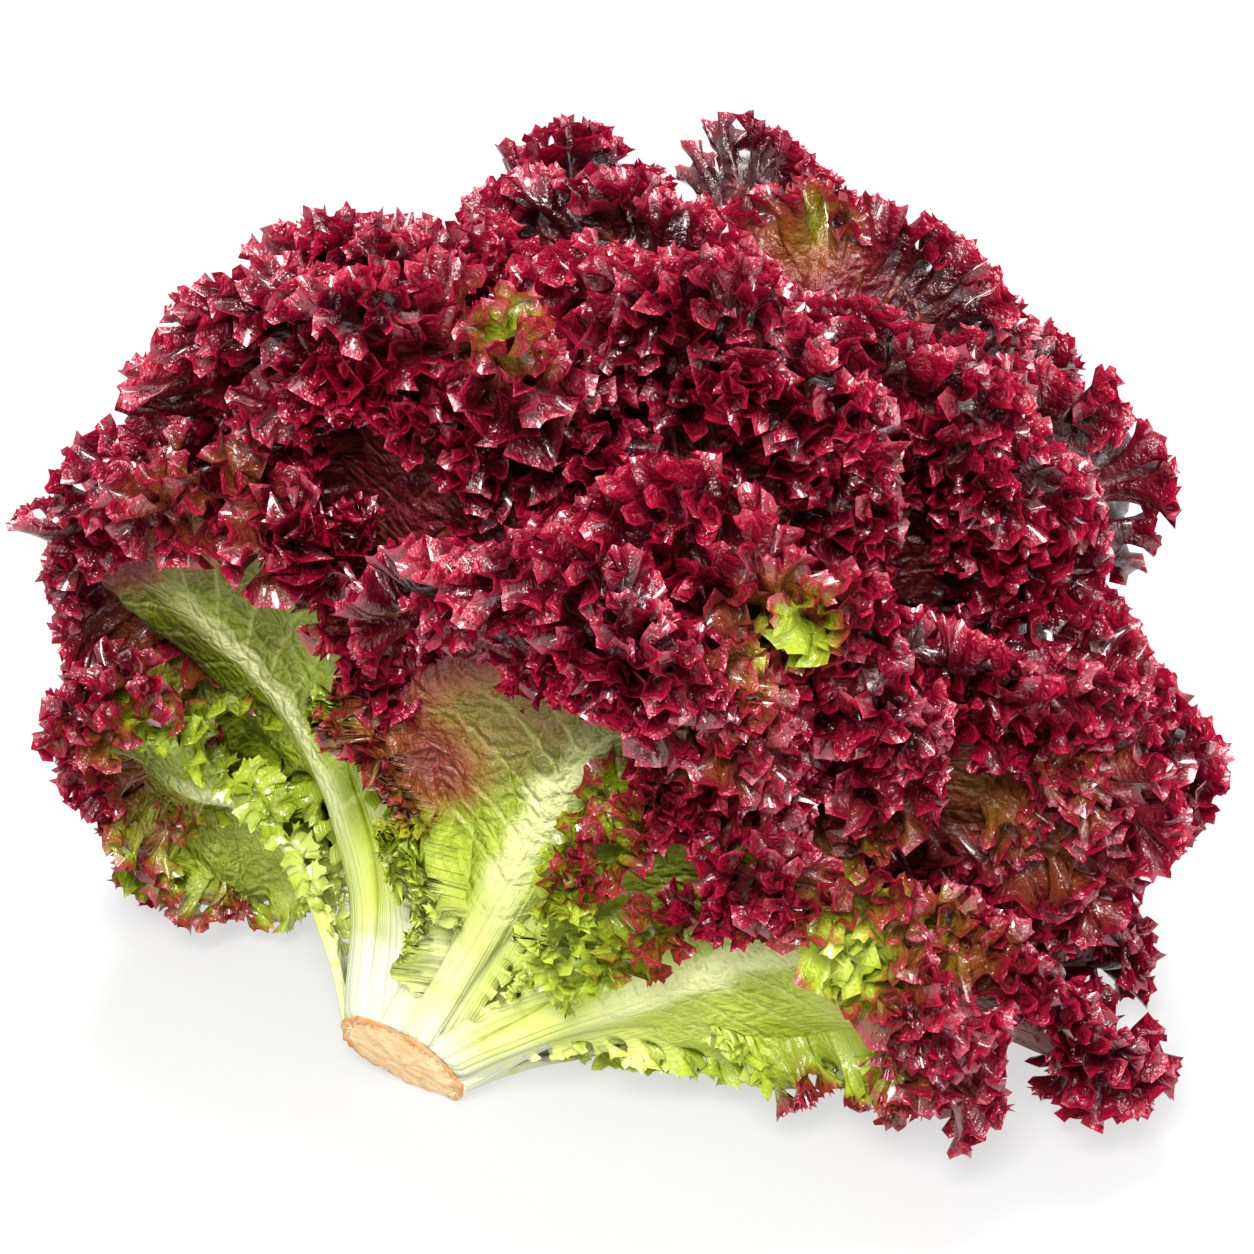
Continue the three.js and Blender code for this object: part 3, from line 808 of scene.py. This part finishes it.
def make_butt():
    """The stem, with its cut face. It is shaped upright on the origin, then laid over."""
    bpy.ops.mesh.primitive_circle_add(vertices=144, radius=BUTT_RINGS[0][1] * MM, fill_type="NGON")
    butt = bpy.context.object
    butt.name = "butt_cut"
    bpy.ops.object.mode_set(mode="EDIT")
    bpy.ops.mesh.flip_normals()
    bpy.ops.mesh.select_mode(type="FACE")
    for thickness in (0.7, 0.9, 1.2, 1.8, 2.4, 2.6):
        bpy.ops.mesh.inset(thickness=thickness * MM)
    bpy.ops.mesh.poke()
    bpy.ops.mesh.select_mode(type="EDGE")
    bpy.ops.mesh.select_all(action="DESELECT")
    bpy.ops.object.mode_set(mode="OBJECT")
    co = coordinates(butt.data)
    on_rim = np.hypot(co[:, 0], co[:, 1]) > (BUTT_RINGS[0][1] - 0.1) * MM
    for edge in butt.data.edges:
        edge.select = bool(on_rim[edge.vertices[0]] and on_rim[edge.vertices[1]])
    bpy.ops.object.mode_set(mode="EDIT")
    for (low, narrow), (high, wide) in zip(BUTT_RINGS, BUTT_RINGS[1:]):
        bpy.ops.mesh.extrude_edges_move(TRANSFORM_OT_translate={"value": (0, 0, (high - low) * MM)})
        bpy.ops.transform.resize(value=(wide / narrow, wide / narrow, 1))
    bpy.ops.mesh.edge_face_add()
    bpy.ops.mesh.select_all(action="SELECT")
    bpy.ops.mesh.normals_make_consistent(inside=False)
    bpy.ops.object.mode_set(mode="OBJECT")
    mesh = butt.data
    co = coordinates(mesh) / MM
    draw = np.random.default_rng(4)
    turn = np.arctan2(co[:, 1], co[:, 0])
    out = np.hypot(co[:, 0], co[:, 1])
    waves = [(k, draw.uniform(0, 6.3)) for k in (2, 3, 5, 7, 11, 17, 29)]
    ragged = sum(np.sin(k * turn + shift) / (1 + 0.25 * k) for k, shift in waves)
    at_rim = smooth(0.6, 1, out / BUTT_RADIUS) * (1 - smooth(1.5, 6, co[:, 2]))
    co[:, :2] *= (1 + 0.028 * ragged * at_rim)[:, None]
    face = (co[:, 2] < 0.35).astype(float)
    bulge = 0.9 * (1 - (out / BUTT_RADIUS) ** 2) - 0.5 * np.exp(-(((out - 12.6) / 0.8) ** 2))
    grain = 0.22 * cloud(co * [1, 1, 0], 2.2, 8) + 0.12 * cloud(co * [1, 1, 0], 1.1, 9)
    co[:, 2] -= face * (bulge + grain) + 0.3 * at_rim * ragged * (co[:, 2] < 2)
    set_attribute(mesh, "cut", "FLOAT_VECTOR", np.stack([out / BUTT_RADIUS, turn, co[:, 2]], axis=-1))
    slope = CUT_SLOPE * (co[:, 0] * math.cos(CUT_HIGH) + co[:, 1] * math.sin(CUT_HIGH))
    co[:, 2] += slope * (1 - smooth(4, 14, co[:, 2]))
    move_vertices(mesh, co * MM)
    return butt


def make_scrap(azimuth, half_width, height):
    """What is left of a trimmed leaf: a short pointed scale on the stem"""
    bpy.ops.mesh.primitive_grid_add(x_subdivisions=8, y_subdivisions=8, size=2)
    scrap = bpy.context.object
    mesh = scrap.data
    co = coordinates(mesh)
    across, up = co[:, 0], (co[:, 1] + 1) / 2
    turn = math.radians(azimuth) + across * (1 - up**1.3) * half_width / 13
    out = 14 + 0.8 * (1 - across**2) + 1.2 * up**1.5
    tall = 0.7 + height * up * (1 - 0.25 * np.abs(across)) + 0.4 * np.sin(9 * across + azimuth) * up
    tall = tall + CUT_SLOPE * out * np.cos(turn - CUT_HIGH)
    shaped = np.stack([out * np.cos(turn), out * np.sin(turn), tall], axis=-1)
    set_attribute(mesh, "cut", "FLOAT_VECTOR", np.stack([1 + 0 * up, turn, 2.5 + 2 * tall], axis=-1))
    move_vertices(mesh, shaped * MM)
    solid = scrap.modifiers.new("thickness", "SOLIDIFY")
    solid.thickness = 1.1 * MM
    solid.offset = -1
    bpy.ops.object.modifier_apply(modifier="thickness")
    bpy.ops.object.mode_set(mode="EDIT")
    bpy.ops.mesh.select_all(action="SELECT")
    bpy.ops.mesh.remove_doubles(threshold=2e-5)
    bpy.ops.mesh.normals_make_consistent(inside=False)
    bpy.ops.object.mode_set(mode="OBJECT")
    return scrap


def lay_over(piece):
    """From upright on the origin to its place in the head: up the stem is along the axis"""
    co = coordinates(piece.data)
    co = co[:, :1] * TOP_SIDE + co[:, 1:2] * LEFT_SIDE + co[:, 2:] * AXIS + BUTT_CENTRE * MM
    co[:, 2] = np.maximum(co[:, 2], 0.0001)
    move_vertices(piece.data, co)


def butt_material():
    paint = Paint("butt_flesh")
    cut = paint.node("ShaderNodeAttribute", {"attribute_name": "cut"})["Vector"]
    parts = paint.node("ShaderNodeSeparateXYZ", None, {"Vector": cut})
    out, turn, height = parts["X"], parts["Y"], parts["Z"]
    place = paint.node("ShaderNodeTexCoord")["Object"]
    speckle = paint.node("ShaderNodeTexNoise", None, {"Vector": place, "Scale": 900.0, "Detail": 3.0})["Fac"]
    patch = paint.node("ShaderNodeTexNoise", None, {"Vector": place, "Scale": 220.0, "Detail": 2.0})["Fac"]
    dashes = paint.node("ShaderNodeCombineXYZ", None, {"X": turn * 9.0, "Y": out * 12.0})["Vector"]
    pores = paint.node(
        "ShaderNodeTexNoise", {"noise_dimensions": "2D"}, {"Vector": dashes, "Scale": 1.6, "Detail": 1.0}
    )["Fac"]
    face = paint.blend(patch.ramp(0.35, 0.7), srgb(238, 208, 158), srgb(226, 184, 126))
    face = paint.blend(speckle.ramp(0.5, 0.75) * 0.5, face, srgb(198, 144, 84))
    ring = out.ramp(0.78, 0.86) * (1 - out.ramp(0.9, 0.97))
    face = paint.blend(ring * pores.ramp(0.5, 0.62) * 0.7, face, srgb(166, 104, 54))
    face = paint.blend(out.ramp(0.88, 1.0) * (patch * 0.6 + 0.5), face, srgb(196, 120, 58))
    side = paint.blend((height - 1.2 + (patch - 0.5) * 3.0).ramp(0.0, 2.2), srgb(206, 140, 76), srgb(236, 228, 184))
    colour = paint.blend(height.ramp(0.4, 1.2), face, side)
    bump = paint.node(
        "ShaderNodeBump", None, {"Strength": 0.5, "Distance": 0.0004, "Height": speckle + pores * 0.5}
    )["Normal"]
    surface = paint.node(
        "ShaderNodeBsdfPrincipled", None, {"Base Color": colour, "Roughness": 0.6, "Normal": bump}
    )["BSDF"]
    paint.node("ShaderNodeOutputMaterial", None, {"Surface": surface})
    return paint.material


def add_camera():
    azimuth, elevation = math.radians(VIEW_AZIMUTH), math.radians(VIEW_ELEVATION)
    view = Vector((-math.sin(azimuth) * math.cos(elevation), math.cos(azimuth) * math.cos(elevation), -math.sin(elevation)))
    right = Vector((math.cos(azimuth), math.sin(azimuth), 0))
    up = right.cross(view)
    focal = LENS / SENSOR * PHOTO_PIXELS
    half = PHOTO_PIXELS / 2
    x = (BUTT_PIXEL[0] - half) / focal * BUTT_DISTANCE
    y = (half - BUTT_PIXEL[1]) / focal * BUTT_DISTANCE
    place = Vector(BUTT_CENTRE) - view * BUTT_DISTANCE - right * x - up * y
    data = bpy.data.cameras.new("camera")
    data.lens, data.sensor_width = LENS, SENSOR
    data.clip_start, data.clip_end = 0.01, 20
    camera = bpy.data.objects.new("camera", data)
    bpy.context.scene.collection.objects.link(camera)
    turn = Matrix((right, up, -view)).transposed().to_4x4()
    camera.matrix_world = Matrix.Translation(place * MM) @ turn
    bpy.context.scene.camera = camera


def add_light(name, place, target, size, watts, colour=(1, 1, 1)):
    data = bpy.data.lights.new(name, "AREA")
    data.shape, data.size, data.energy, data.color = "DISK", size, watts, colour
    light = bpy.data.objects.new(name, data)
    bpy.context.scene.collection.objects.link(light)
    light.location = place
    light.rotation_euler = (Vector(target) - Vector(place)).to_track_quat("-Z", "Y").to_euler()


def add_studio():
    bpy.ops.mesh.primitive_plane_add(size=12)
    floor = bpy.context.object
    floor.name = "floor"
    paint = Paint("floor_white")
    surface = paint.node(
        "ShaderNodeBsdfPrincipled",
        None,
        {
            "Base Color": (0.21, 0.21, 0.21, 1),
            "Roughness": 0.9,
            "Emission Color": (1, 1, 1, 1),
            "Emission Strength": 0.63,
        },
    )["BSDF"]
    paint.node("ShaderNodeOutputMaterial", None, {"Surface": surface})
    floor.data.materials.append(paint.material)
    world = bpy.data.worlds.new("studio")
    bpy.context.scene.world = world
    world.use_nodes = True
    world.node_tree.nodes["Background"].inputs[0].default_value = (1, 1, 1, 1)
    world.node_tree.nodes["Background"].inputs[1].default_value = 0.65
    centre = (0, 0, 0.08)
    add_light("key", (-0.9, -0.6, 1.0), centre, 0.5, 27)
    add_light("top", (0.1, 0.1, 1.4), centre, 0.7, 28)
    add_light("side", (-0.2, -1.2, 0.5), centre, 0.6, 6)
    cycles = bpy.context.scene.cycles
    cycles.max_bounces = 3
    cycles.diffuse_bounces = 2
    cycles.glossy_bounces = 1
    cycles.transmission_bounces = 2


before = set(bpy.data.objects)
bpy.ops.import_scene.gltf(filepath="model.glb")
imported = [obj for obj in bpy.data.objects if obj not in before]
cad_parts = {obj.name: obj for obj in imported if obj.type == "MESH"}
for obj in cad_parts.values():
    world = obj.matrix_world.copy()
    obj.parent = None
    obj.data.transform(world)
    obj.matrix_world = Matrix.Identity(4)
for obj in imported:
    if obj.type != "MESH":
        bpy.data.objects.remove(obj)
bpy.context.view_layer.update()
deselect_all()

blade = leaf_material("leaf_blade")


def leaf_blanks(columns):
    finest = columns * FRILL_COLUMNS * 2 ** len(DOUBLED_AT)
    thick = sheet_blank("thick", 0, THICK_ROWS, columns, (), finest)
    frills = sheet_blank("frills", INNER_ROWS, ROWS, columns * FRILL_COLUMNS, DOUBLED_AT, finest)
    finest = CREST_COLUMNS * 2 ** len(CREST_DOUBLED_AT)
    return thick, frills, sheet_blank("crest", 0, len(CREST_ROWS) - 1, CREST_COLUMNS, CREST_DOUBLED_AT, finest)


blanks = leaf_blanks(COLUMNS)
for i in range(LEAF_COUNT - HEART_COUNT):
    plan = leaf_plan(i)
    plan.foot_drop = (plan.foot_height - 0.8) * (1 - smooth(7, 14, i))
    plan.roll = 1.0
    plan.green_depth = 0.8 if i < CREST_FROM else 0.1
    name = f"leaf_{i + 1:02d}"
    folds = list(INNER_CRESTS if i >= CREST_FROM else OUTER_CRESTS)
    folds.extend(MORE_CRESTS.get(i, []))
    leaf = shape_leaf(blanks, folds, plan, COLUMNS, name + "_frilled")
    leaf.data.materials.clear()
    leaf.data.materials.append(blade)
    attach(leaf, "root")
    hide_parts(name)
for blank in blanks:
    bpy.data.objects.remove(blank)

blanks = leaf_blanks(HEART_COLUMNS)
heart_parts = []
for i in range(LEAF_COUNT - HEART_COUNT, LEAF_COUNT):
    plan = leaf_plan(i)
    plan.foot_drop = 0.0
    plan.roll = 0.8
    plan.green_depth = 0.1
    heart_parts.append(shape_leaf(blanks, [], plan, HEART_COLUMNS, f"heart_{i}"))
for blank in blanks:
    bpy.data.objects.remove(blank)
only(heart_parts[0])
for part in heart_parts:
    part.select_set(True)
bpy.ops.object.join()
heart = bpy.context.object
heart.name = "heart_frilled"
heart.data.materials.clear()
heart.data.materials.append(blade)
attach(heart, "root")
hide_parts("heart_leaves")

butt = make_butt()
scraps = [make_scrap(*scrap) for scrap in SCRAPS]
only(butt)
for scrap in scraps:
    scrap.select_set(True)
bpy.ops.object.join()
lay_over(butt)
bpy.ops.object.shade_smooth()
butt.data.materials.clear()
butt.data.materials.append(butt_material())
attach(butt, "root")
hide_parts("stem_butt")

add_camera()
add_studio()
bpy.context.scene.view_settings.view_transform = "Standard"
